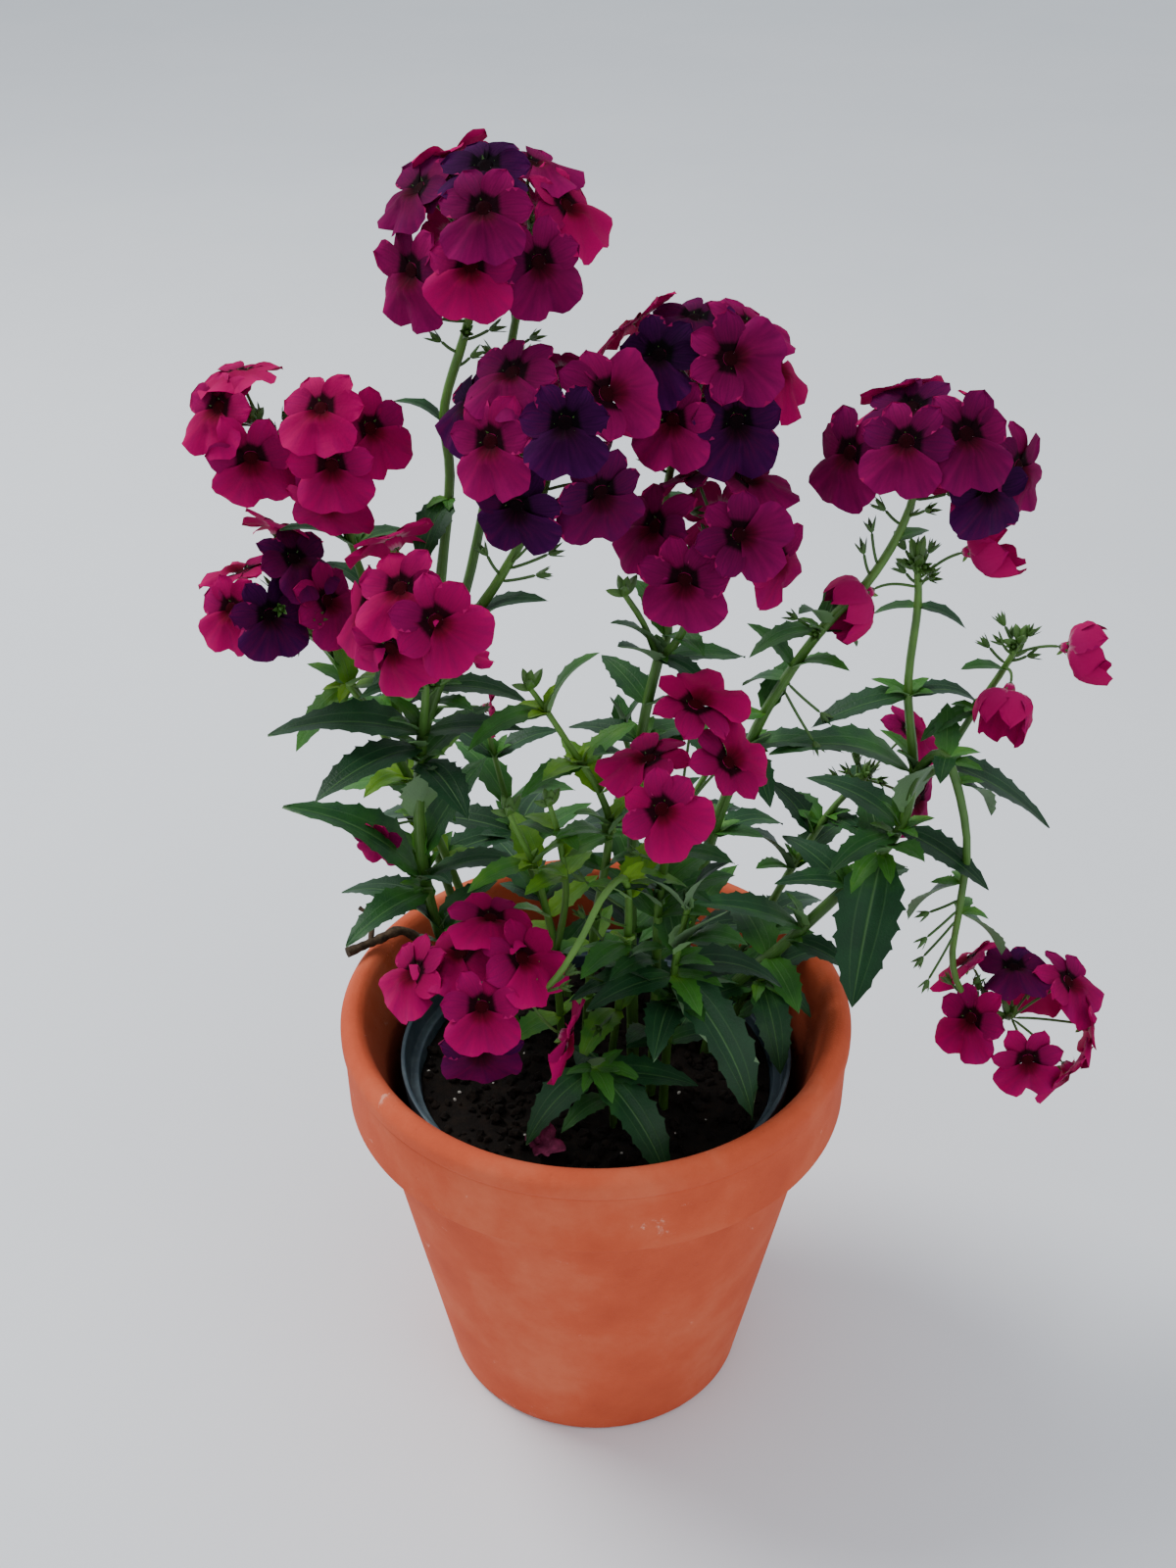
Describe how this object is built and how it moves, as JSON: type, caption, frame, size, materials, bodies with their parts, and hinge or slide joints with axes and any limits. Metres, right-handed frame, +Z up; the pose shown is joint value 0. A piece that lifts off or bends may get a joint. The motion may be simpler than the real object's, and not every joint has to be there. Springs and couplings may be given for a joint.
{
  "type": "potted nemesia",
  "caption": "Bushy flowering nemesia with toothed leaves and magenta to wine flower heads, in a plastic nursery pot inside a terracotta pot.",
  "frame": {"origin": "on the ground, under the middle of the whole plant's box; the pots' axis stands 30 mm to -X of it", "axes": "+Z up, the plant's broad side seen along +Y, the hanging head on +X"},
  "size_m": [0.3029, 0.18, 0.4532],
  "materials": {
    "terracotta": "matte unglazed fired clay",
    "nursery_plastic": "matte moulded plastic",
    "soil": "loose peat",
    "dry_stem": "dry bark",
    "leaf": "satin living leaf and stem",
    "petal_wine": "velvety petal",
    "petal_magenta": "velvety petal",
    "wilted_petal": "shrunken dry petal"
  },
  "bodies": {
    "root": {"terracotta_pot": "terracotta", "nursery_pot": "nursery_plastic", "potting_soil": "soil", "dead_stem": "dry_stem", "fallen_bloom": "wilted_petal", "leafy_stem_left": "leaf", "leafy_stem_far_left": "leaf", "leafy_stem_low_left": "leaf", "leafy_stem_middle": "leaf", "leafy_stem_right_middle": "leaf", "leafy_stem_right": "leaf", "leafy_stem_front": "leaf", "leafy_stem_drooping": "leaf", "leafy_stem_back_right": "leaf", "leafy_stem_back": "leaf", "leafy_stem_back_left": "leaf", "leafy_shoot_front": "leaf", "leafy_shoot_front_low": "leaf", "leafy_shoot_right": "leaf", "bud_shoot": "leaf", "bud_shoot_low": "leaf", "head_top_1": "petal_wine", "head_top_2": "petal_wine", "head_centre_left": "petal_wine", "head_centre_right": "petal_wine", "head_under_centre": "petal_wine", "head_right": "petal_wine", "head_far_left": "petal_magenta", "head_left": "petal_magenta", "head_low_left": "petal_magenta", "head_near_left": "petal_magenta", "head_near": "petal_magenta", "head_drooping": "petal_magenta", "head_hanging": "petal_magenta", "head_young_right": "petal_magenta", "head_young_far_right": "petal_magenta", "head_back_right": "petal_magenta", "bloom_small_left_1": "petal_magenta", "bloom_small_left_2": "petal_magenta", "bloom_small_low_left": "petal_magenta"}
  },
  "joints": []
}
